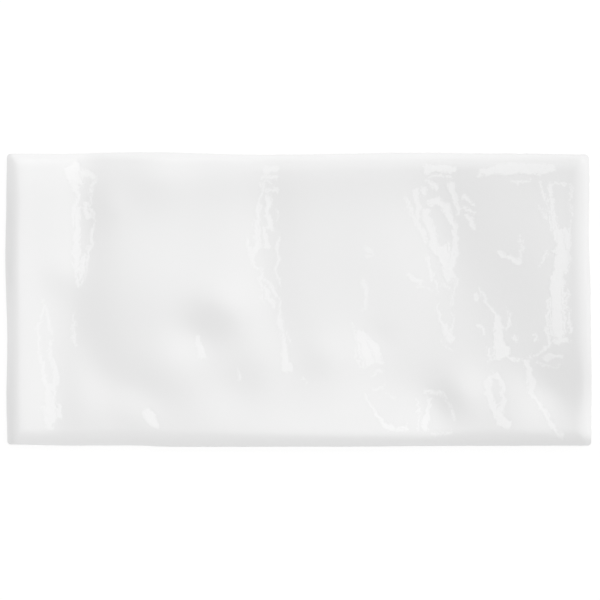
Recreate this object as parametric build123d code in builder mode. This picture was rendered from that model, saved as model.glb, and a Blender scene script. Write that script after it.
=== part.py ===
from build123d import *
from math import cos, exp, radians, sin, sqrt
import os

# A glazed wall tile, pressed and fired as one piece. It lies on its back with the glazed face up.
# X runs along the length, Y across the width and Z up, from the centre of the back.
# All sizes are in millimetres and all turns in degrees.

# Driving dimensions
length = 150.0  # over the fullest points of the two ends
width = 75.4  # over the fullest points of the two long sides
thickness = 8.3  # from the back to the level of the face between its swells
corner_radius = 1.0  # rounding of the four corners, seen from above
pillow_reach = 4.5  # how far in from the edge the face begins to roll over
pillow_drop = 0.8  # how far the face falls on its way to the side

# Keying on the back: ribs round shallow square pockets
key_pitch = 23.0  # from one rib to the next
key_rib = 3.0  # width of a rib
key_depth = 0.6  # depth of a pocket
key_draft = 25.0  # slope of a pocket's walls
key_border = 4.0  # least width of the plain land round the pockets
key_corner = 1.5  # rounding of a pocket's corners

# How closely the face is drawn: the stations lie closest at the edge, where the face rolls over
edge_step = 0.4  # from the edge to the first station
step_growth = 1.4  # each step further in is longer by this
face_step = 3.0  # longest step, on the open face
steepest_roll = 0.985  # share of the roll at which the face stops steepening

# How far each side draws in from its fullest line: (share of the half side, drawn in by).
# The share runs from -1 to 1, along +X on the long sides and along +Y on the ends.
far_side = [(-1.0, 0.40), (-0.84, 0.42), (-0.53, 0.0), (-0.12, 0.67), (0.40, 0.16), (0.75, 0.37), (1.0, 0.60)]
near_side = [(-1.0, 0.60), (-0.78, 0.31), (-0.58, 0.36), (-0.43, 0.0), (0.15, 0.05), (0.5, 0.24), (1.0, 0.32)]
left_end = [(-1.0, 0.52), (-0.7, 0.30), (-0.29, 0.53), (0.30, 0.0), (0.7, 0.28), (1.0, 0.45)]
right_end = [(-1.0, 0.10), (-0.55, 0.0), (0.0, 0.28), (0.48, 0.70), (0.8, 0.58), (1.0, 0.70)]

# Swells of the face: the place as shares of the half length and half width, the spread
# along and across the swell, the turn of its long direction from X, and its rise.
swells = [
    (-1.0, 0.0, 40.0, 5.0, 90, 0.50),  # rim along the four sides
    (1.0, 0.1, 40.0, 9.0, 90, 1.20),
    (0.0, -1.0, 80.0, 5.0, 0, 0.50),
    (0.0, 1.0, 80.0, 7.0, 0, 0.45),
    (-0.74, 0.55, 14.0, 4.5, 90, -0.55),  # left: two valleys and the broad pillow beside them
    (-0.833, -0.477, 12.0, 4.5, 90, -0.46),
    (-0.813, 0.186, 3.5, 3.5, 0, 0.15),
    (-0.68, -0.318, 14.0, 4.5, 110, -0.37),
    (-0.507, 0.053, 12.0, 11.0, 0, 0.45),
    (-0.493, 0.875, 6.0, 6.0, 0, 0.35),
    (-0.533, -0.637, 7.0, 4.0, 155, -0.30),
    (-0.353, -0.239, 5.0, 4.5, 0, -0.43),
    (-0.253, -0.04, 5.0, 4.5, 0, 0.30),
    (-0.113, 0.53, 11.0, 5.0, 90, -0.32),  # middle: a long valley, dimples along the near side
    (-0.08, -0.133, 12.0, 4.5, 104, -0.15),
    (-0.227, -0.623, 5.0, 4.5, 0, -0.26),
    (-0.123, -0.398, 4.5, 4.5, 0, 0.16),
    (0.031, -0.581, 4.5, 4.5, 0, -0.07),
    (0.099, -0.385, 5.0, 4.5, 0, 0.22),
    (0.55, 0.45, 12.0, 7.0, 108, -0.75),  # right: the deepest valley, its far bank, four dimples
    (0.82, 0.15, 16.0, 7.0, 90, 0.40),
    (0.36, -0.265, 11.0, 11.0, 0, -0.40),
    (0.293, -0.584, 7.0, 6.0, 0, -0.25),
    (0.432, -0.647, 5.0, 5.0, 0, -0.42),
    (0.553, -0.647, 4.0, 4.0, 0, 0.38),
    (0.671, -0.647, 4.0, 4.0, 0, -0.30),
    (0.721, -0.682, 4.0, 4.0, 0, 0.30),
    (0.841, -0.682, 5.0, 5.0, 0, -0.65),
]


def drawn_in(side, share):
    """How far a side stands in from its fullest line, eased from point to point."""
    for (start, start_inset), (end, end_inset) in zip(side, side[1:]):
        if share <= end:
            break
    along = (share - start) / (end - start)
    return start_inset + (end_inset - start_inset) * along**2 * (3 - 2 * along)


def corner_share(inset):
    """How far into the rounding of a corner a point lies, from 0 at its start to 1 at the edge."""
    return max(1 - inset / corner_radius, 0.0)


def plan(a, b):
    """Where a point of the straight rectangle lies once its corners are rounded and its sides drawn in."""
    end_share, side_share = corner_share(length / 2 - abs(a)), corner_share(width / 2 - abs(b))
    round_a = 1 - corner_radius * end_share * (1 - sqrt(1 - side_share**2 / 2)) / (length / 2)
    round_b = 1 - corner_radius * side_share * (1 - sqrt(1 - end_share**2 / 2)) / (width / 2)
    share_a, share_b = 2 * a / length * round_a, 2 * b / width * round_b
    left, right = drawn_in(left_end, share_b), drawn_in(right_end, share_b)
    near, far = drawn_in(near_side, share_a), drawn_in(far_side, share_a)
    x = share_a * length / 2 + left * (1 - share_a) / 2 - right * (1 + share_a) / 2
    y = share_b * width / 2 + near * (1 - share_b) / 2 - far * (1 + share_b) / 2
    return x, y


def roll(inset):
    """Share of the pillow's drop at a distance in from the edge, down a quarter ellipse."""
    turn = max(1 - inset / pillow_reach, 0.0)
    curved = min(turn, steepest_roll)
    rise = sqrt(1 - curved**2)
    return 1 - rise + (turn - curved) * curved / rise


def face_height(a, b):
    """Height of the glazed face above the back."""
    end_roll, side_roll = roll(length / 2 - abs(a)), roll(width / 2 - abs(b))
    height = thickness - pillow_drop * (end_roll**3 + side_roll**3) ** (1 / 3)
    for share_a, share_b, along, across, turn, rise in swells:
        da, db = a - share_a * length / 2, b - share_b * width / 2
        c, s = cos(radians(turn)), sin(radians(turn))
        height += rise * exp(-(((da * c + db * s) / along) ** 2 + ((db * c - da * s) / across) ** 2) / 2)
    return height


def stations(half):
    """Places from one edge to the other, with steps that grow from each edge to the open face."""
    border, step = [half], edge_step
    while step < face_step:
        border.append(border[-1] - step)
        step *= step_growth
    inner = border[-1]
    count = round(2 * inner / face_step)
    opened = [inner - 2 * inner * i / count for i in range(1, count)]
    return border + opened + [-place for place in reversed(border)]


# The glazed face: swells and rolled borders, out to the irregular outline
face_points = [
    [(*plan(a, b), face_height(a, b)) for b in stations(width / 2)]
    for a in stations(length / 2)
]
glazed_face = Face.make_surface_from_array_of_points(face_points, min_deg=3, max_deg=3)

with BuildPart() as tile:
    # The body hangs from its face and ends at the plane of the back
    extrude(glazed_face, amount=2 * thickness, dir=(0, 0, -1))
    split(bisect_by=Plane.XY, keep=Keep.TOP)

    # Pockets that the bedding mortar keys into
    pocket = key_pitch - key_rib
    columns = int((length - 2 * key_border + key_rib) // key_pitch)
    rows = int((width - 2 * key_border + key_rib) // key_pitch)
    with BuildSketch():
        with GridLocations(key_pitch, key_pitch, columns, rows):
            RectangleRounded(pocket, pocket, key_corner)
    extrude(amount=key_depth, taper=key_draft, mode=Mode.SUBTRACT)

tile.part.label = "tile"
os.makedirs("parts", exist_ok=True)
export_step(tile.part, "parts/tile.step")
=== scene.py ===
import math
import bpy
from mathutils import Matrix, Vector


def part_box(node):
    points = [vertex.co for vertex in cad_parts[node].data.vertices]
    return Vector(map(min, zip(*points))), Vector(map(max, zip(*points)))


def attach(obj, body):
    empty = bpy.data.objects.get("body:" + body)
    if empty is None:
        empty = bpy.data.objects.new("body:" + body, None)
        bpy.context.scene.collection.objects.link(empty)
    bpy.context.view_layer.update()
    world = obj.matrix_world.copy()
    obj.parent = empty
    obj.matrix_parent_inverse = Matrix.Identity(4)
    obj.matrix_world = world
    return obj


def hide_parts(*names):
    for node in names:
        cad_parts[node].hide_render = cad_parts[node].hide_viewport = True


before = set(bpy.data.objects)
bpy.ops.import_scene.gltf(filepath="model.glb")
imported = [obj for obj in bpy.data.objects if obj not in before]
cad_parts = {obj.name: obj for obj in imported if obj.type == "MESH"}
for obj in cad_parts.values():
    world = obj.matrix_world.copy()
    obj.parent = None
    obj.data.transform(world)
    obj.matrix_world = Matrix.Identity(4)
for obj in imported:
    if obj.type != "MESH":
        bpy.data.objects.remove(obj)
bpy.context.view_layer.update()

mm = 0.001  # metres
diagonal = math.sqrt(0.5)  # share of each axis in a direction half way between two


# a socket that takes part in plain arithmetic; each operator adds a Math node
class Wire:
    def __init__(self, wiring, socket):
        self.wiring = wiring
        self.socket = socket

    def __getitem__(self, key):  # another output of the same node
        return Wire(self.wiring, self.socket.node.outputs[key])

    def math(self, operation, *values):
        inputs = dict(enumerate(values))
        return self.wiring.add("ShaderNodeMath", {"operation": operation}, inputs)

    def __add__(self, other):
        return self.math("ADD", self, other)

    def __radd__(self, other):
        return self.math("ADD", other, self)

    def __sub__(self, other):
        return self.math("SUBTRACT", self, other)

    def __rsub__(self, other):
        return self.math("SUBTRACT", other, self)

    def __mul__(self, other):
        return self.math("MULTIPLY", self, other)

    def __rmul__(self, other):
        return self.math("MULTIPLY", other, self)

    def __truediv__(self, other):
        return self.math("DIVIDE", self, other)

    def __rtruediv__(self, other):
        return self.math("DIVIDE", other, self)

    def __pow__(self, other):
        return self.math("POWER", self, other)

    def __gt__(self, other):
        return self.math("GREATER_THAN", self, other)


# a node tree; add() makes any node from its type, its settings and its sockets' values or links
class Wiring:
    def __init__(self, tree):
        self.tree = tree
        self.tree.nodes.clear()

    def add(self, kind, settings=None, inputs=None):
        node = self.tree.nodes.new(kind)
        for name, value in (settings or {}).items():
            setattr(node, name, value)
        for key, value in (inputs or {}).items():
            for one in value if isinstance(value, list) else [value]:
                if isinstance(one, Wire):
                    self.tree.links.new(one.socket, node.inputs[key])
                else:
                    node.inputs[key].default_value = one
        return Wire(self, node.outputs[0]) if node.outputs else node

    def split(self, vector):
        parts = self.add("ShaderNodeSeparateXYZ", None, {0: vector})
        return parts[0], parts[1], parts[2]

    def join(self, x, y, z):
        return self.add("ShaderNodeCombineXYZ", None, {0: x, 1: y, 2: z})

    def vector(self, operation, first, second):
        return self.add("ShaderNodeVectorMath", {"operation": operation}, {0: first, 1: second})

    # eased from low to high while value goes from start to end, and level outside
    def ease(self, value, start, end, low=0.0, high=1.0):
        return self.add("ShaderNodeMapRange", {"interpolation_type": "SMOOTHSTEP"},
                        {0: value, 1: start, 2: end, 3: low, 4: high})

    def noise(self, place, scale, detail, roughness, seed):
        return self.add("ShaderNodeTexNoise", {"noise_dimensions": "4D"}, {
            "Vector": place, "W": seed, "Scale": scale, "Detail": detail, "Roughness": roughness})


def newTree(name, sizes):
    tree = bpy.data.node_groups.new(name, "GeometryNodeTree")
    tree.interface.new_socket("Geometry", in_out="OUTPUT", socket_type="NodeSocketGeometry")
    for title in sizes:
        kind = "NodeSocketInt" if isinstance(sizes[title], int) else "NodeSocketFloat"
        tree.interface.new_socket(title, in_out="INPUT", socket_type=kind)
    wiring = Wiring(tree)
    return wiring, wiring.add("NodeGroupInput")


# runs the tree on a new object and keeps the result as a plain mesh
def growMesh(name, wiring, sizes):
    holder = bpy.data.objects.new(name + "Holder", bpy.data.meshes.new(name + "Holder"))
    bpy.context.scene.collection.objects.link(holder)
    modifier = holder.modifiers.new(name, "NODES")
    modifier.node_group = wiring.tree
    for item in wiring.tree.interface.items_tree:
        if item.in_out == "INPUT":
            modifier[item.identifier] = sizes[item.name]
    graph = bpy.context.evaluated_depsgraph_get()
    mesh = bpy.data.meshes.new_from_object(holder.evaluated_get(graph))
    holder.modifiers.remove(modifier)
    bpy.data.objects.remove(holder)
    mesh.name = name
    piece = bpy.data.objects.new(name, mesh)
    bpy.context.scene.collection.objects.link(piece)
    return piece


# the tile: all sizes in millimetres, in the frame of the CAD node
tileLow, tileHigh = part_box("tile")
tileSizes = {
    "length": (tileHigh.x - tileLow.x) / mm,
    "width": (tileHigh.y - tileLow.y) / mm,
    "level": 8.3,  # back to the face between its swells
    "cornerRadius": 1.0,
    "pillowReach": 4.5,  # width of the rolled border
    "pillowDrop": 1.0,
    "cornerBlend": 3.0,  # how sharply the rolls of two sides meet
    "rollEnd": 0.95,  # turn at which the roll meets the lip, in radians
    "lip": 0.004,
    "lipDrop": 0.03,
    "backBevel": 0.4,
    "keyPitch": 23.0,  # ribs and pockets on the back
    "keyRib": 3.0,
    "keyDepth": 0.6,
    "keyDraft": 25.0,
    "keyCorner": 1.5,
    "keyCornerSteps": 5,
    "keyColumns": 6,
    "keyRows": 3,
    "meshColumns": 421,
    "meshRows": 211,
    "weld": 0.002,  # points closer than this become one
    "arris": 40.0,  # edges that bend more than this stay sharp, in degrees
}

# how far each side draws in: share of the half side, millimetres
outline = {
    "far": [(-1.0, 0.40), (-0.84, 0.42), (-0.53, 0.0), (-0.12, 0.67),
            (0.40, 0.16), (0.75, 0.37), (1.0, 0.60)],
    "near": [(-1.0, 0.60), (-0.78, 0.31), (-0.58, 0.36), (-0.43, 0.0),
             (0.15, 0.05), (0.5, 0.24), (1.0, 0.32)],
    "left": [(-1.0, 0.52), (-0.7, 0.30), (-0.29, 0.53), (0.30, 0.0), (0.7, 0.28), (1.0, 0.45)],
    "right": [(-1.0, 0.10), (-0.55, 0.0), (0.0, 0.28), (0.48, 0.70), (0.8, 0.58), (1.0, 0.70)],
}

# swells of the face: place as shares of the half length and half width, spread along and across
# in millimetres, turn of the long direction from X in degrees, rise in millimetres
swells = [
    (-1.0, 0.0, 40.0, 5.0, 90, 0.50),  # rim along the four sides
    (-1.0, 0.37, 12.0, 1.2, 90, -0.72),
    (-1.0, -0.80, 12.0, 1.2, 90, -0.60),
    (1.0, 0.25, 34.0, 9.0, 90, 1.05),
    (1.0, 0.0, 40.0, 3.0, 90, 0.30),
    (1.0, 0.0, 80.0, 1.0, 90, -0.12),
    (0.0, -1.0, 80.0, 5.0, 0, 0.50),
    (0.0, -1.0, 22.0, 9.0, 0, 0.35),
    (0.0, -1.0, 160.0, 1.3, 0, -0.20),
    (-0.65, -1.0, 22.0, 5.0, 0, -0.76),
    (0.60, -1.0, 10.0, 4.5, 0, -0.45),
    (0.0, 1.0, 80.0, 7.0, 0, 0.45),
    (0.0, 1.0, 160.0, 1.0, 0, -0.15),
    (-0.72, 1.0, 17.0, 6.0, 0, -0.50),
    (-0.50, 1.0, 40.0, 3.5, 0, -0.32),
    (-0.74, 0.55, 14.0, 4.5, 90, -0.55),  # left: two valleys and the broad pillow beside them
    (-0.833, -0.477, 12.0, 4.5, 90, -0.46),
    (-0.813, 0.186, 3.5, 3.5, 0, 0.15),
    (-0.644, 0.642, 3.2, 3.2, 0, 0.13),
    (-0.725, -0.318, 14.0, 4.5, 110, -0.37),
    (-0.507, 0.053, 12.0, 11.0, 0, 0.45),
    (-0.493, 0.875, 6.0, 6.0, 0, 0.35),
    (-0.533, -0.637, 7.0, 4.0, 155, -0.30),
    (-0.353, -0.239, 5.0, 4.5, 0, -0.43),
    (-0.253, -0.04, 5.0, 4.5, 0, 0.30),
    (-0.113, 0.53, 11.0, 5.0, 90, -0.32),  # middle: a long valley, dimples along the near side
    (-0.08, -0.133, 12.0, 4.5, 104, -0.15),
    (-0.227, -0.623, 5.0, 4.5, 0, -0.18),
    (-0.123, -0.398, 4.5, 4.5, 0, 0.11),
    (0.099, -0.385, 4.0, 3.8, 0, 0.17),
    (0.50, 0.38, 13.0, 8.0, 96, -0.74),  # right: the deepest valley, its far bank, dimples
    (0.82, 0.15, 16.0, 7.0, 90, 0.40),
    (0.36, -0.20, 11.0, 11.0, 0, -0.50),
    (0.264, -0.265, 3.2, 3.2, 0, -0.14),
    (0.293, -0.584, 7.0, 6.0, 0, -0.25),
    (0.459, -0.713, 5.0, 5.0, 0, -0.42),
    (0.553, -0.647, 4.0, 4.0, 0, 0.38),
    (0.735, -0.66, 4.0, 4.0, 0, 0.12),
    (0.865, -0.626, 5.5, 5.0, 0, -0.62),
]

# runs of the glaze down the banks of the valleys: start, middle and end of a curve on the face,
# half width at the start and at the end, all in millimetres
runs = [
    ((-58.4, 34.2), (-57.0, 33.0), (-56.8, 30.0), 2.3, 1.9),  # left, upper
    ((-55.0, 32.6), (-53.2, 31.6), (-51.2, 31.2), 0.9, 0.3),
    ((-51.6, 30.6), (-52.6, 29.6), (-53.2, 28.0), 0.4, 0.4),
    ((-53.4, 28.2), (-53.4, 25.0), (-52.0, 21.0), 0.35, 0.25),
    ((-52.0, 21.0), (-52.2, 17.0), (-53.6, 12.6), 0.35, 0.45),
    ((-53.6, 12.6), (-53.5, 9.0), (-55.4, 3.9), 0.35, 0.2),
    ((-57.2, 29.6), (-55.6, 26.4), (-57.0, 23.4), 0.9, 0.5),
    ((-57.0, 23.4), (-57.6, 21.6), (-57.6, 19.0), 0.5, 0.3),
    ((-56.0, 23.0), (-56.5, 19.0), (-56.6, 15.0), 0.6, 0.9),
    ((-56.6, 15.0), (-56.9, 11.0), (-56.4, 8.0), 0.9, 0.6),
    ((-54.2, 24.2), (-53.9, 22.7), (-53.4, 21.0), 0.7, 0.8),
    ((-54.9, 11.0), (-55.4, 8.5), (-55.9, 5.4), 0.6, 0.4),
    ((-57.3, 8.8), (-57.2, 6.4), (-55.9, 3.4), 0.35, 0.25),
    ((-57.7, -3.8), (-57.5, -7.0), (-57.7, -9.6), 0.2, 0.2),
    ((-57.8, -9.8), (-57.5, -10.9), (-57.0, -11.9), 0.4, 0.4),
    ((-65.4, 0.2), (-65.2, -0.6), (-64.9, -1.4), 0.25, 0.25),  # left, lower
    ((-64.8, -1.6), (-66.0, -3.0), (-66.1, -6.0), 0.35, 0.3),
    ((-64.6, -1.6), (-64.1, -4.2), (-63.2, -8.4), 0.4, 0.35),
    ((-66.3, -6.0), (-66.5, -11.0), (-66.0, -15.0), 0.25, 0.3),
    ((-66.0, -15.0), (-65.8, -19.0), (-63.8, -22.6), 0.4, 0.6),
    ((-63.4, -10.8), (-63.9, -12.6), (-63.6, -14.6), 0.5, 0.4),
    ((-63.0, -15.4), (-61.8, -18.0), (-62.1, -21.4), 0.7, 0.8),
    ((-62.1, -21.4), (-62.6, -22.6), (-63.8, -23.2), 0.6, 0.7),
    ((-64.2, -22.8), (-64.4, -25.4), (-63.6, -27.4), 0.6, 1.0),
    ((-62.8, -23.0), (-62.4, -25.0), (-62.6, -26.6), 0.5, 0.4),
    ((-64.0, -27.8), (-63.4, -29.2), (-63.6, -31.0), 1.9, 1.6),
    ((-61.2, -27.2), (-61.0, -28.6), (-61.4, -30.0), 0.4, 0.8),
    ((-64.2, -31.0), (-63.9, -31.8), (-63.4, -32.6), 1.0, 0.6),
    ((-38.8, -28.9), (-38.0, -29.9), (-37.2, -31.2), 1.5, 1.3),
    ((-37.2, -31.2), (-36.8, -32.0), (-36.3, -32.8), 1.2, 0.5),
    ((-8.8, 33.4), (-7.4, 33.4), (-5.8, 33.2), 0.8, 0.7),  # middle, the long valley
    ((-9.5, 31.1), (-7.7, 31.3), (-5.6, 31.1), 0.6, 0.6),
    ((-9.7, 29.7), (-8.0, 29.5), (-6.6, 29.6), 0.25, 0.25),
    ((-9.6, 28.4), (-9.1, 28.3), (-8.6, 28.3), 0.35, 0.35),
    ((-8.2, 27.6), (-7.0, 27.6), (-5.5, 28.0), 0.3, 0.35),
    ((-9.4, 27.4), (-9.9, 26.6), (-10.2, 25.8), 0.3, 0.25),
    ((-10.3, 25.0), (-9.9, 22.0), (-10.8, 19.0), 0.4, 0.4),
    ((-11.7, 21.2), (-11.6, 20.5), (-11.6, 19.6), 0.2, 0.2),
    ((-11.0, 19.0), (-10.2, 17.0), (-10.5, 14.0), 0.4, 0.7),
    ((-10.5, 14.0), (-10.6, 12.0), (-11.8, 11.0), 0.8, 0.7),
    ((-13.0, 15.2), (-13.6, 13.6), (-11.6, 11.4), 0.45, 0.7),
    ((-12.1, 10.8), (-11.8, 8.6), (-9.7, 7.2), 0.3, 0.25),
    ((-9.6, 7.4), (-9.4, 6.8), (-9.3, 6.4), 0.45, 0.35),
    ((-9.9, 5.8), (-9.5, 4.4), (-9.5, 2.2), 0.3, 0.4),
    ((-7.7, 26.0), (-7.0, 24.4), (-8.0, 23.0), 0.7, 0.6),
    ((-7.9, 22.4), (-7.2, 20.4), (-7.2, 18.2), 0.5, 0.7),
    ((-8.7, 18.2), (-8.6, 15.6), (-8.0, 13.4), 0.5, 0.7),
    ((-5.6, 22.9), (-5.4, 21.6), (-5.6, 20.4), 0.2, 0.2),
    ((-5.1, 15.8), (-5.7, 13.0), (-5.1, 10.2), 0.35, 0.4),
    ((-5.1, 10.2), (-6.4, 7.4), (-4.6, 3.6), 0.35, 0.25),
    ((-8.4, 4.8), (-6.8, 4.4), (-5.8, 1.0), 0.5, 0.5),
    ((-8.2, 2.6), (-7.6, 0.6), (-6.3, -1.4), 0.5, 0.5),
    ((-9.4, 0.8), (-9.3, 0.2), (-8.9, -0.4), 0.3, 0.2),
    ((-4.7, 0.6), (-4.5, -1.5), (-4.8, -4.0), 0.25, 0.3),
    ((-4.9, -4.2), (-4.8, -6.0), (-4.4, -7.4), 0.5, 0.6),
    ((-4.4, -8.0), (-4.3, -8.8), (-4.2, -9.6), 0.35, 0.35),
    ((-3.1, -8.8), (-2.7, -9.6), (-2.3, -10.4), 0.15, 0.15),
    ((-3.6, -10.6), (-3.6, -13.6), (-2.7, -18.0), 0.5, 1.4),
    ((0.8, -20.5), (1.8, -20.2), (1.9, -21.2), 0.3, 0.3),
    ((-25.6, -9.4), (-25.5, -10.4), (-25.6, -11.4), 0.3, 0.6),  # middle, single beads
    ((-25.7, -11.6), (-25.4, -13.0), (-24.4, -14.4), 1.0, 1.0),
    ((-15.4, -18.0), (-14.8, -18.8), (-14.9, -20.4), 0.45, 0.4),
    ((17.1, 13.0), (18.0, 12.7), (18.9, 12.8), 0.5, 0.5),
    ((17.6, 11.4), (18.4, 11.3), (19.3, 11.2), 0.3, 0.3),
    ((16.7, 4.6), (17.8, 1.8), (17.1, -1.2), 0.6, 0.8),
    ((15.8, -3.2), (16.6, -2.6), (17.4, -2.1), 0.2, 0.3),
    ((13.5, -6.0), (13.7, -7.4), (14.0, -8.8), 0.2, 0.2),
    ((14.4, -12.6), (15.0, -15.0), (15.6, -17.0), 0.2, 0.25),
    ((15.4, -8.6), (17.0, -12.0), (18.2, -16.4), 1.8, 1.9),
    ((18.4, -10.6), (20.2, -13.4), (20.4, -15.8), 0.9, 1.2),
    ((18.9, -19.3), (20.3, -18.9), (21.4, -18.3), 0.5, 0.5),
    ((19.3, -22.8), (20.5, -22.7), (21.8, -21.8), 0.25, 0.2),
    ((22.4, -23.9), (23.5, -24.9), (24.9, -25.5), 0.15, 0.2),
    ((17.4, -23.6), (18.2, -27.6), (20.4, -29.6), 0.3, 0.5),
    ((20.4, -29.6), (21.8, -33.2), (24.8, -33.3), 0.5, 0.7),
    ((24.8, -33.3), (26.4, -33.3), (27.6, -32.8), 0.6, 0.4),
    ((32.5, 33.5), (36.0, 33.8), (40.0, 33.6), 1.1, 0.9),  # right, the deepest valley
    ((33.5, 31.5), (36.0, 31.7), (39.0, 31.5), 0.3, 0.3),
    ((32.5, 30.7), (34.0, 29.8), (35.4, 28.4), 0.5, 0.6),
    ((32.0, 28.2), (32.2, 27.7), (32.4, 27.0), 0.8, 0.7),
    ((27.3, 25.8), (28.0, 25.0), (28.6, 24.1), 0.35, 0.35),
    ((28.0, 23.5), (30.9, 19.3), (32.7, 15.0), 0.35, 0.4),
    ((30.2, 28.1), (30.0, 24.0), (30.9, 20.6), 0.6, 0.5),
    ((32.5, 22.5), (34.0, 17.5), (35.4, 12.7), 0.8, 1.1),
    ((33.5, 24.1), (36.0, 26.8), (38.1, 22.8), 0.8, 0.8),
    ((38.1, 22.8), (39.4, 19.4), (40.2, 16.0), 0.7, 0.7),
    ((40.2, 16.0), (40.6, 10.8), (38.7, 5.2), 0.8, 0.6),
    ((36.8, 13.0), (38.2, 10.0), (38.4, 6.0), 2.0, 1.6),
    ((33.0, 10.8), (33.5, 7.5), (34.1, 5.3), 0.5, 0.5),
    ((28.0, 6.6), (29.6, 5.3), (31.4, 4.3), 0.5, 0.7),
    ((30.9, 3.0), (32.4, 2.9), (33.8, 2.8), 0.25, 0.25),
    ((36.7, 4.0), (37.7, 3.6), (38.7, 3.3), 0.4, 0.3),
    ((40.3, 4.9), (39.8, 2.0), (39.0, -0.9), 0.2, 0.2),
    ((35.4, 4.6), (35.4, 3.0), (35.4, 1.7), 0.2, 0.2),
    ((39.0, 29.8), (39.7, 26.0), (41.3, 21.9), 0.8, 0.7),
    ((42.3, 26.1), (43.4, 25.3), (44.6, 24.5), 0.6, 0.4),
    ((42.3, 23.2), (43.8, 22.6), (45.5, 22.0), 0.3, 0.3),
    ((43.3, 21.2), (44.4, 19.6), (44.9, 18.0), 0.6, 0.7),
    ((35.3, -1.2), (36.0, -5.0), (37.4, -7.4), 0.3, 0.4),
    ((37.2, -6.8), (38.2, -8.7), (39.0, -10.0), 0.9, 1.0),
    ((39.2, -3.5), (40.2, -6.4), (39.0, -8.2), 0.25, 0.25),
    ((36.6, -10.3), (37.5, -12.6), (39.4, -13.1), 0.2, 0.2),
    ((46.8, 32.4), (49.4, 32.8), (51.0, 33.4), 0.8, 1.4),  # right, the far bank
    ((50.8, 33.6), (58.0, 33.4), (65.0, 33.8), 1.6, 1.4),
    ((54.3, 30.3), (56.3, 29.4), (59.6, 30.3), 0.3, 0.3),
    ((50.9, 12.6), (53.0, 10.6), (56.9, 9.8), 0.7, 0.7),
    ((56.8, 15.7), (57.7, 13.0), (56.8, 10.8), 0.3, 0.4),
    ((61.5, 30.3), (63.9, 26.0), (64.6, 17.3), 0.25, 0.25),
    ((65.4, 29.8), (67.0, 29.9), (68.3, 29.8), 0.3, 0.3),
    ((64.4, 29.4), (65.0, 23.0), (66.4, 15.6), 0.5, 0.6),
    ((67.2, 17.4), (68.0, 12.5), (67.1, 7.8), 1.9, 2.0),
    ((66.9, 7.8), (66.6, 6.8), (66.3, 5.8), 1.2, 1.4),
    ((66.2, 5.8), (66.2, -1.0), (66.5, -9.4), 1.8, 2.0),
    ((68.8, 2.4), (69.0, -3.0), (69.4, -8.2), 0.3, 0.3),
    ((69.2, 29.4), (70.0, 22.0), (69.3, 14.7), 0.2, 0.2),
    ((61.5, 24.1), (62.2, 22.6), (63.3, 20.9), 0.35, 0.35),
    ((63.8, 12.1), (62.5, 10.5), (61.7, 8.5), 0.3, 0.3),
    ((63.8, -0.2), (63.4, -5.1), (64.1, -11.6), 0.3, 0.35),
    ((65.6, -10.6), (67.0, -10.4), (68.7, -10.6), 0.7, 0.5),
    ((46.2, 3.0), (47.5, 0.4), (50.1, -3.5), 0.25, 0.35),
    ((45.2, 1.0), (45.3, 0.6), (45.4, 0.2), 0.6, 0.6),
    ((50.7, -4.2), (51.2, -9.4), (52.0, -14.4), 0.9, 2.1),
    ((53.5, -2.2), (54.6, -6.1), (53.0, -7.2), 0.25, 0.25),
    ((55.5, -9.5), (55.6, -9.8), (55.8, -10.2), 0.5, 0.5),
    ((46.5, -6.5), (47.0, -7.6), (47.5, -8.8), 0.35, 0.35),
    ((60.2, -8.8), (61.0, -9.6), (60.4, -10.4), 0.4, 0.4),
    ((48.3, -12.6), (49.5, -14.5), (48.5, -15.8), 0.3, 0.3),
    ((53.7, -14.9), (56.0, -15.3), (57.9, -15.7), 0.25, 0.25),
    ((59.2, -15.2), (61.8, -13.4), (64.1, -11.6), 0.3, 0.4),
    ((63.5, -14.9), (65.4, -13.8), (67.4, -14.9), 0.8, 0.6),
    ((60.9, -16.2), (63.0, -17.3), (66.7, -17.1), 0.2, 0.2),
    ((48.8, -20.6), (47.8, -24.5), (50.6, -29.3), 0.9, 0.9),  # right, round the dimples
    ((48.6, -20.2), (51.2, -18.0), (51.9, -22.3), 0.45, 0.45),
    ((51.9, -22.3), (53.0, -25.5), (51.7, -28.2), 0.45, 0.6),
    ((50.8, -29.0), (52.0, -31.5), (53.9, -32.2), 1.1, 1.1),
    ((58.7, -15.8), (58.4, -18.6), (59.4, -21.0), 0.7, 0.9),
    ((59.4, -21.0), (59.6, -23.0), (60.0, -24.8), 0.9, 0.5),
    ((60.0, -24.8), (62.4, -27.0), (63.6, -30.0), 0.4, 0.5),
    ((63.6, -30.0), (64.6, -33.2), (67.6, -35.6), 0.5, 0.6),
    ((32.8, -23.2), (38.6, -22.6), (39.9, -30.7), 0.25, 0.2),
    ((32.5, -23.7), (34.5, -22.7), (36.4, -24.6), 0.4, 0.3),
    ((33.6, -25.6), (33.0, -29.5), (32.5, -33.4), 0.75, 0.7),
    ((30.6, -25.3), (30.7, -29.5), (30.7, -33.5), 0.2, 0.2),
    ((34.1, -34.5), (37.4, -35.0), (39.4, -33.7), 0.25, 0.3),
]
farRight = (diagonal, diagonal, 0.0)  # the way that the runs look
runSizes = {
    "steps": 12,  # points along a run
    "fall": 0.01,  # slope that a run adds to the bank
    "edge": 0.5,  # width of the soft edge of a run
    "leastHalf": 0.02,  # half width of the thinnest core
    "stray": 3.6,  # how far a run wanders off its line
    "strayNoise": (0.45, 3.0, 0.6, 5.0),  # scale, detail, roughness, seed
}


# a place along the drawn-out sheet becomes a place on the face and its share of the roll
def rollOver(place, size, reach, end):
    inner = size / 2 - reach
    far = place.math("ABSOLUTE", place)
    turn = place.math("MAXIMUM", far - inner, 0.0) / reach
    level = place.math("MINIMUM", far, inner)
    rolled = reach * place.math("SINE", turn) / end.math("SINE", end)
    return place.math("SIGN", place) * (level + rolled), 1.0 - place.math("COSINE", turn)


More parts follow.
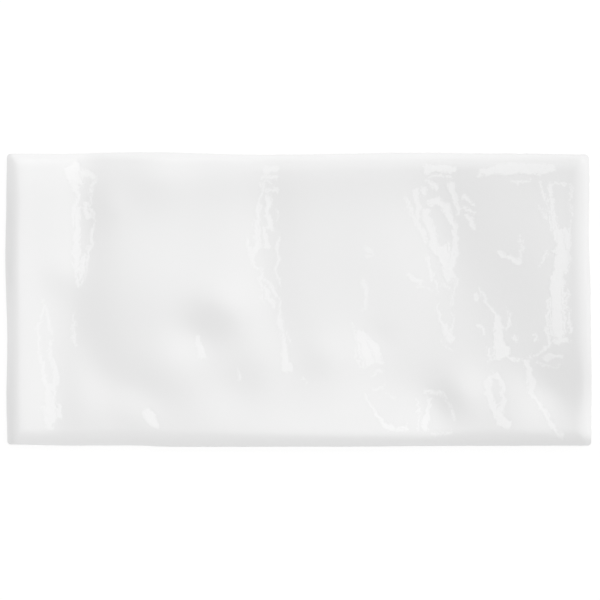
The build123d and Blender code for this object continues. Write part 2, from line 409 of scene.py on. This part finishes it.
def drawnIn(wiring, share, points):
    inset = points[0][1]
    for (start, startInset), (end, endInset) in zip(points, points[1:]):
        inset = inset + wiring.ease(share, start, end, 0.0, endInset - startInset)
    return inset


def swellHeight(wiring, place):
    height = 0.0
    for shareA, shareB, along, across, turn, rise in swells:
        middle = (shareA * tileSizes["length"] / 2, shareB * tileSizes["width"] / 2, 0.0)
        offset = wiring.vector("SUBTRACT", place, middle)
        turned = wiring.add("ShaderNodeVectorRotate", {"rotation_type": "Z_AXIS"},
                            {"Vector": offset, "Angle": -math.radians(turn)})
        shrunk = wiring.vector("DIVIDE", turned, (along, across, 1.0))
        far = wiring.vector("DOT_PRODUCT", shrunk, shrunk)["Value"]
        height = far.math("MULTIPLY_ADD", far.math("EXPONENT", far * -0.5), rise, height)
    return height


# the runs as curves on the flat, each point with its half width
def runCurves(wiring):
    curves = []
    for start, middle, end, startHalf, endHalf in runs:
        curves.append(wiring.add("GeometryNodeCurveQuadraticBezier", None, {
            "Resolution": runSizes["steps"], "Start": (*start, startHalf), "End": (*end, endHalf),
            "Middle": (*middle, (startHalf + endHalf) / 2)}))
    x, y, half = wiring.split(wiring.add("GeometryNodeInputPosition"))
    net = wiring.add("GeometryNodeStoreNamedAttribute", {"data_type": "FLOAT", "domain": "POINT"}, {
        "Geometry": wiring.add("GeometryNodeJoinGeometry", None, {"Geometry": curves}),
        "Name": "half", "Value": half})
    return wiring.add("GeometryNodeSetPosition", None,
                      {"Geometry": net, "Position": wiring.join(x, y, 0.0)})


# a run steps the face down towards the far right; also how far inside a run's edge a point lies
def runRelief(wiring, place):
    curves = runCurves(wiring)
    edge, reach = runSizes["edge"], runSizes["stray"]
    stray = wiring.noise(place, *runSizes["strayNoise"])["Color"]
    stray = wiring.vector("SUBTRACT", stray, (0.5, 0.5, 0.5))
    place = wiring.vector("ADD", place, wiring.vector("MULTIPLY", stray, (reach, reach, 0.0)))
    half = wiring.add("GeometryNodeInputNamedAttribute", {"data_type": "FLOAT"}, {"Name": "half"})
    profile = wiring.add("GeometryNodeCurvePrimitiveLine", None,
                         {"Start": (-1.0, 0.0, 0.0), "End": (1.0, 0.0, 0.0)})
    ribbons = wiring.add("GeometryNodeCurveToMesh", None, {
        "Curve": curves, "Profile Curve": profile,
        "Scale": half.math("MAXIMUM", half - edge, runSizes["leastHalf"])})
    near = wiring.add("GeometryNodeProximity", {"target_element": "FACES"},
                      {"Geometry": ribbons, "Sample Position": place})
    nearest = wiring.add("GeometryNodeSampleNearest", {"domain": "POINT"},
                         {"Geometry": ribbons, "Sample Position": place})
    nearHalf = wiring.add("GeometryNodeSampleIndex", {"data_type": "FLOAT", "domain": "POINT"},
                          {"Geometry": ribbons, "Index": nearest, "Value": half})
    inside = half.math("MINIMUM", nearHalf, edge) - near["Distance"]
    line = wiring.add("GeometryNodeProximity", {"target_element": "EDGES"}, {
        "Geometry": wiring.add("GeometryNodeCurveToMesh", None, {"Curve": curves}),
        "Sample Position": place})
    towards = wiring.vector("DOT_PRODUCT", wiring.vector("SUBTRACT", place, line), farRight)["Value"]
    return towards * -runSizes["fall"] * wiring.ease(inside, -edge, edge), inside


def buildTileTree():
    wiring, sizes = newTree("glazedTile", tileSizes)
    lip, reach, rollEnd = sizes["lip"], sizes["pillowReach"], sizes["rollEnd"]
    length, width = sizes["length"] - lip * 2, sizes["width"] - lip * 2
    drawnOut = (rollEnd - 1.0) * 2.0 * reach  # the roll is longer along the face than in plan
    sheet = wiring.add("GeometryNodeMeshGrid", None, {
        "Size X": length + drawnOut, "Size Y": width + drawnOut,
        "Vertices X": sizes["meshColumns"], "Vertices Y": sizes["meshRows"]})

    # roll the border over
    placeX, placeY, _ = wiring.split(wiring.add("GeometryNodeInputPosition"))
    a, endRoll = rollOver(placeX, length, reach, rollEnd)
    b, sideRoll = rollOver(placeY, width, reach, rollEnd)
    blend = sizes["cornerBlend"]
    roll = (endRoll ** blend + sideRoll ** blend) ** (1.0 / blend)

    # round the corners and draw the sides in
    corner = sizes["cornerRadius"]
    shareA, shareB = a * 2.0 / length, b * 2.0 / width
    endCorner = a.math("MAXIMUM", 1.0 - (length / 2 - a.math("ABSOLUTE", a)) / corner, 0.0)
    sideCorner = b.math("MAXIMUM", 1.0 - (width / 2 - b.math("ABSOLUTE", b)) / corner, 0.0)
    pullA = 1.0 - a.math("SQRT", 1.0 - sideCorner ** 2.0 / 2)
    pullB = 1.0 - b.math("SQRT", 1.0 - endCorner ** 2.0 / 2)
    shareA = shareA * (1.0 - corner * endCorner * pullA * 2.0 / length)
    shareB = shareB * (1.0 - corner * sideCorner * pullB * 2.0 / width)
    left, right = drawnIn(wiring, shareB, outline["left"]), drawnIn(wiring, shareB, outline["right"])
    near, far = drawnIn(wiring, shareA, outline["near"]), drawnIn(wiring, shareA, outline["far"])
    x = shareA * length / 2 + left * (1.0 - shareA) / 2 - right * (1.0 + shareA) / 2
    y = shareB * width / 2 + near * (1.0 - shareB) / 2 - far * (1.0 + shareB) / 2

    # waves of the face and runs of the glaze
    place = wiring.join(a, b, 0.0)
    relief, inside = runRelief(wiring, place)
    height = sizes["level"] - sizes["pillowDrop"] * roll
    height = height + swellHeight(wiring, place) + relief * (1.0 - roll)
    face = wiring.add("GeometryNodeSetPosition", None,
                      {"Geometry": sheet, "Position": wiring.join(x, y, height)})
    face = wiring.add("GeometryNodeStoreNamedAttribute", {"data_type": "FLOAT", "domain": "POINT"},
                      {"Geometry": face, "Name": "runs", "Value": inside})

    # over the lip, down the sides to the bevel, then in to the back
    rim = wiring.add("FunctionNodeCompare", {"data_type": "INT", "operation": "EQUAL"},
                     {2: wiring.add("GeometryNodeInputMeshEdgeNeighbors"), 3: 1})
    px, py, pz = wiring.split(wiring.add("GeometryNodeInputPosition"))
    bevel = sizes["backBevel"]
    widerX, widerY = px * (1.0 + lip * 2.0 / length), py * (1.0 + lip * 2.0 / width)
    innerX, innerY = px * (1.0 - bevel * 2.0 / length), py * (1.0 - bevel * 2.0 / width)
    body, loop = face, rim
    for target in (wiring.join(widerX, widerY, pz - sizes["lipDrop"]),
                   wiring.join(px, py, bevel),
                   wiring.join(innerX, innerY, 0.0)):
        extruded = wiring.add("GeometryNodeExtrudeMesh", {"mode": "EDGES"},
                              {"Mesh": body, "Selection": loop, "Offset Scale": 0.0})
        loop = extruded["Top"]
        body = wiring.add("GeometryNodeSetPosition", None,
                          {"Geometry": extruded, "Selection": loop, "Position": target})

    # pockets between the ribs, one shape set out on a grid of points
    pocket = sizes["keyPitch"] - sizes["keyRib"]
    pocketRim = wiring.add("GeometryNodeFilletCurve", {"mode": "POLY"}, {
        "Curve": wiring.add("GeometryNodeCurvePrimitiveQuadrilateral", None,
                            {"Width": pocket, "Height": pocket}),
        "Count": sizes["keyCornerSteps"], "Radius": sizes["keyCorner"]})
    depth = sizes["keyDepth"]
    floor = wiring.add("GeometryNodeExtrudeMesh", {"mode": "FACES"}, {
        "Mesh": wiring.add("GeometryNodeFillCurve", {"mode": "NGONS"}, {"Curve": pocketRim}),
        "Offset": wiring.join(0.0, 0.0, depth), "Offset Scale": 1.0, "Individual": False})
    slope = depth.math("TANGENT", depth.math("RADIANS", sizes["keyDraft"]))
    hollow = wiring.add("GeometryNodeScaleElements", None, {
        "Geometry": floor, "Selection": floor["Top"], "Scale": 1.0 - depth * slope * 2.0 / pocket})
    grid = wiring.add("GeometryNodeMeshGrid", None, {
        "Size X": (sizes["keyColumns"] - 1.0) * sizes["keyPitch"], "Vertices X": sizes["keyColumns"],
        "Size Y": (sizes["keyRows"] - 1.0) * sizes["keyPitch"], "Vertices Y": sizes["keyRows"]})
    rims, hollows = (wiring.add("GeometryNodeRealizeInstances", None, {
        "Geometry": wiring.add("GeometryNodeInstanceOnPoints", None, {"Points": grid, "Instance": shape})})
        for shape in (pocketRim, hollow))
    backRim = wiring.add("GeometryNodeMeshToCurve", None, {"Mesh": body, "Selection": loop})
    land = wiring.add("GeometryNodeFillCurve", {"mode": "TRIANGLES"}, {
        "Curve": wiring.add("GeometryNodeJoinGeometry", None, {"Geometry": [backRim, rims]})})
    back = wiring.add("GeometryNodeFlipFaces", None, {
        "Mesh": wiring.add("GeometryNodeJoinGeometry", None, {"Geometry": [land, hollows]})})

    # one closed skin, smooth but for its arrises
    skin = wiring.add("GeometryNodeMergeByDistance", None, {
        "Geometry": wiring.add("GeometryNodeJoinGeometry", None, {"Geometry": [body, back]}),
        "Distance": sizes["weld"]})
    skin = wiring.add("GeometryNodeTransform", None, {"Geometry": skin, "Scale": (mm, mm, mm)})
    arris = wiring.add("GeometryNodeInputMeshEdgeAngle") > depth.math("RADIANS", sizes["arris"])
    skin = wiring.add("GeometryNodeSetShadeSmooth", {"domain": "EDGE"},
                      {0: skin, "Selection": arris, "Shade Smooth": False})
    skin = wiring.add("GeometryNodeRealizeInstances", None, {"Geometry": skin})
    skin = wiring.add("GeometryNodeSetMaterial", None, {"Geometry": skin, "Material": glazeMaterial()})
    wiring.add("NodeGroupOutput", None, {"Geometry": skin})
    return wiring


glaze = {
    "colour": (0.86, 0.86, 0.86, 1.0),
    "roughness": 0.05,
    "ior": 1.56,
    "runTilt": 0.065,  # slope of a run's own skin
    "runRagged": 2.8,  # how far the noise shifts a run's edge, in millimetres
    "runSoft": 0.08,
    "runNoise": (2200.0, 3.0, 0.6, 3.0),  # scale, detail, roughness, seed
    "body": (0.74, 0.65, 0.55, 1.0),  # the bare fired body
    "bodyGrain": (0.58, 0.47, 0.37, 1.0),
    "bodyRoughness": 0.9,
    "bodyBump": 0.5,
    "bumpDepth": 0.1,
    "grainStart": 0.52,
    "grainEnd": 0.68,
    "grainNoise": (1800.0, 4.0, 0.7, 8.0),
    "line": 1.7,  # height at which the glaze stops on the sides, in millimetres
    "lineRagged": 1.2,
    "lineSoft": 0.1,
    "lineNoise": (300.0, 2.0, 0.5, 0.0),
}


def glazeMaterial():
    material = bpy.data.materials.new("whiteGlaze")
    material.use_nodes = True
    wiring = Wiring(material.node_tree)
    place = wiring.add("ShaderNodeTexCoord")["Object"]
    _, _, z = wiring.split(place)
    ragged = z / mm + (wiring.noise(place, *glaze["lineNoise"]) - 0.5) * glaze["lineRagged"]
    glazed = wiring.ease(ragged, glaze["line"] - glaze["lineSoft"], glaze["line"] + glaze["lineSoft"])
    grain = wiring.noise(place, *glaze["grainNoise"])
    body = wiring.add("ShaderNodeMix", {"data_type": "RGBA"}, {
        0: wiring.ease(grain, glaze["grainStart"], glaze["grainEnd"]),
        6: glaze["body"], 7: glaze["bodyGrain"]})
    colour = wiring.add("ShaderNodeMix", {"data_type": "RGBA"},
                        {0: glazed, 6: body[2], 7: glaze["colour"]})
    roughness = glaze["bodyRoughness"] + glazed * (glaze["roughness"] - glaze["bodyRoughness"])

    # the skin of a run leans to the far right, with a ragged edge
    inside = wiring.add("ShaderNodeAttribute", {"attribute_name": "runs"})["Fac"]
    inside = inside + (wiring.noise(place, *glaze["runNoise"]) - 0.5) * glaze["runRagged"]
    lean = wiring.ease(inside, -glaze["runSoft"], glaze["runSoft"]) * glaze["runTilt"]
    toWorld = {"vector_type": "VECTOR", "convert_from": "OBJECT", "convert_to": "WORLD"}
    tilt = wiring.add("ShaderNodeVectorTransform", toWorld,
                      {0: wiring.join(lean * farRight[0], lean * farRight[1], 0.0)})
    leaning = wiring.vector("ADD", wiring.add("ShaderNodeNewGeometry")["Normal"], tilt)
    smooth = wiring.add("ShaderNodeVectorMath", {"operation": "NORMALIZE"}, {0: leaning})
    normal = wiring.add("ShaderNodeBump", None, {
        "Strength": glaze["bodyBump"], "Distance": glaze["bumpDepth"] * mm,
        "Height": grain * (1.0 - glazed), "Normal": smooth})
    shader = wiring.add("ShaderNodeBsdfPrincipled", None, {
        "Base Color": colour[2], "Roughness": roughness, "IOR": glaze["ior"], "Normal": normal})
    wiring.add("ShaderNodeOutputMaterial", None, {"Surface": shader})
    return material


tile = growMesh("glazedTile", buildTileTree(), tileSizes)
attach(tile, "root")
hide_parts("tile")
print("tile", len(tile.data.vertices), "points", len(tile.data.polygons), "faces")


studio = {
    "panelHeight": 6.0,
    "panelSize": 14.4,
    "dim": 0.333,  # light of the panel's plain part
    "overhead": 2.3,  # added over the tile, on the far right half
    "overheadSpread": 0.40,  # spreads and places are tangents of the angle from straight up
    "turn": 0.18,
    "softbox": 2.18,  # added at its start, over the tile
    "softboxFar": 1.45,  # added at its far end
    "softboxStart": 0.13,
    "softboxEnd": 1.2,
    "softboxHalf": 0.8,
    "softboxEdge": 0.25,  # how softly it starts and ends at its sides
    "world": 0.31,
    "fill": 0.15,  # watts, hung over the left end
    "fillPlace": (-0.10, -0.02, 0.33),
    "fillSize": 0.1,
    "floorSize": 8.0,
    "floorHeight": -0.0003,
    "floorCover": 0.0012,  # how far the tile reaches over the floor's opening
    "floorShade": 0.11,  # the part of its white that a shadow takes away
    "floorGlow": 0.93,
    "floorColour": 0.8,  # as the tile sees it
}


# 1 for rays from the camera, from a mirror-like surface or through a clear one
def seenRays(wiring):
    path = wiring.add("ShaderNodeLightPath")
    seen = path["Is Camera Ray"] + path["Is Glossy Ray"] + path["Is Transmission Ray"]
    return path.math("MINIMUM", seen, 1.0)


def corners(halfX, halfY, height):
    return [(x * halfX, y * halfY, height) for x, y in ((-1, -1), (1, -1), (1, 1), (-1, 1))]


def stagePiece(name, points, faces):
    mesh = bpy.data.meshes.new(name)
    mesh.from_pydata(points, [], faces)
    piece = bpy.data.objects.new(name, mesh)
    bpy.context.scene.collection.objects.link(piece)
    material = bpy.data.materials.new(name)
    material.use_nodes = True
    mesh.materials.append(material)
    return piece, Wiring(material.node_tree)


def buildStudio():
    scene = bpy.context.scene
    scene.view_settings.view_transform = "Standard"
    world = bpy.data.worlds.new("studio")
    scene.world = world
    world.use_nodes = True
    wiring = Wiring(world.node_tree)
    white = wiring.add("ShaderNodeBackground", None, {"Color": (1, 1, 1, 1), "Strength": 1.0})
    light = wiring.add("ShaderNodeBackground", None, {"Color": (1, 1, 1, 1), "Strength": studio["world"]})
    mixed = wiring.add("ShaderNodeMixShader", None, {0: seenRays(wiring), 1: light, 2: white})
    wiring.add("ShaderNodeOutputWorld", None, {"Surface": mixed})

    # overhead panel, brighter to the far right, with a softbox let into it
    half = studio["panelSize"] / 2
    panel, wiring = stagePiece("lightPanel", corners(half, half, studio["panelHeight"]), [(3, 2, 1, 0)])
    panel.visible_camera = False
    x, y, _ = wiring.split(wiring.add("ShaderNodeTexCoord")["Object"])
    towards = (x + y) * (diagonal / studio["panelHeight"])
    across = (y - x) * (diagonal / studio["panelHeight"])
    spread = (towards ** 2.0 + across ** 2.0) / studio["overheadSpread"] ** 2
    overhead = towards.math("EXPONENT", spread * -1.0)
    overhead = overhead * wiring.ease(towards, -studio["turn"], studio["turn"])
    start, side, edge = studio["softboxStart"], studio["softboxHalf"], studio["softboxEdge"]
    softbox = wiring.ease(towards, start, studio["softboxEnd"], studio["softbox"], studio["softboxFar"])
    aside = wiring.ease(across.math("ABSOLUTE", across), side, side + edge, 1.0, 0.0)
    inside = wiring.ease(towards, start, start + edge) * aside
    strength = studio["dim"] + overhead * studio["overhead"] + inside * softbox
    emission = wiring.add("ShaderNodeEmission", None, {"Strength": strength})
    wiring.add("ShaderNodeOutputMaterial", None, {"Surface": emission})

    # fill over the left end, which the glaze does not mirror
    data = bpy.data.lights.new("fill", "AREA")
    data.energy, data.size = studio["fill"], studio["fillSize"]
    fill = bpy.data.objects.new("fill", data)
    fill.location = studio["fillPlace"]
    fill.visible_camera = fill.visible_glossy = fill.visible_transmission = False
    scene.collection.objects.link(fill)

    # floor: white to the eye, with the tile's shadow; clear from below and open under the tile
    half, height, cover = studio["floorSize"] / 2, studio["floorHeight"], studio["floorCover"]
    points = corners(half, half, height) + corners(tileHigh.x - cover, tileHigh.y - cover, height)
    sides = [(i, (i + 1) % 4, (i + 1) % 4 + 4, i + 4) for i in range(4)]
    floor, wiring = stagePiece("floor", points, sides)
    shade = wiring.add("ShaderNodeBsdfDiffuse", None, {"Color": (studio["floorShade"],) * 3 + (1.0,)})
    shine = wiring.add("ShaderNodeEmission", None, {"Strength": studio["floorGlow"]})
    paper = wiring.add("ShaderNodeAddShader", None, {0: shade, 1: shine})
    plain = wiring.add("ShaderNodeBsdfDiffuse", None, {"Color": (studio["floorColour"],) * 3 + (1.0,)})
    top = wiring.add("ShaderNodeMixShader", None, {0: seenRays(wiring), 1: plain, 2: paper})
    behind = wiring.add("ShaderNodeNewGeometry")["Backfacing"]
    clear = wiring.add("ShaderNodeBsdfTransparent")
    wiring.add("ShaderNodeOutputMaterial", None, {
        "Surface": wiring.add("ShaderNodeMixShader", None, {0: behind, 1: top, 2: clear})})


camera = {
    "lens": 900.0,
    "frameWidth": 153.45,  # millimetres across the picture, at the height of the rim
    "rimHeight": 8.0,
    "centre": (0.41, -0.13),  # point of the tile at the middle of the picture
    "clip": (0.01, 100.0),  # metres
}


def placeCamera():
    data = bpy.data.cameras.new("camera")
    data.lens = camera["lens"]
    distance = camera["frameWidth"] * camera["lens"] / data.sensor_width
    eye = bpy.data.objects.new("camera", data)
    x, y = camera["centre"]
    eye.location = (x * mm, y * mm, (camera["rimHeight"] + distance) * mm)
    data.clip_start, data.clip_end = camera["clip"]
    bpy.context.scene.collection.objects.link(eye)
    bpy.context.scene.camera = eye


buildStudio()
placeCamera()
print("studio and camera in place")
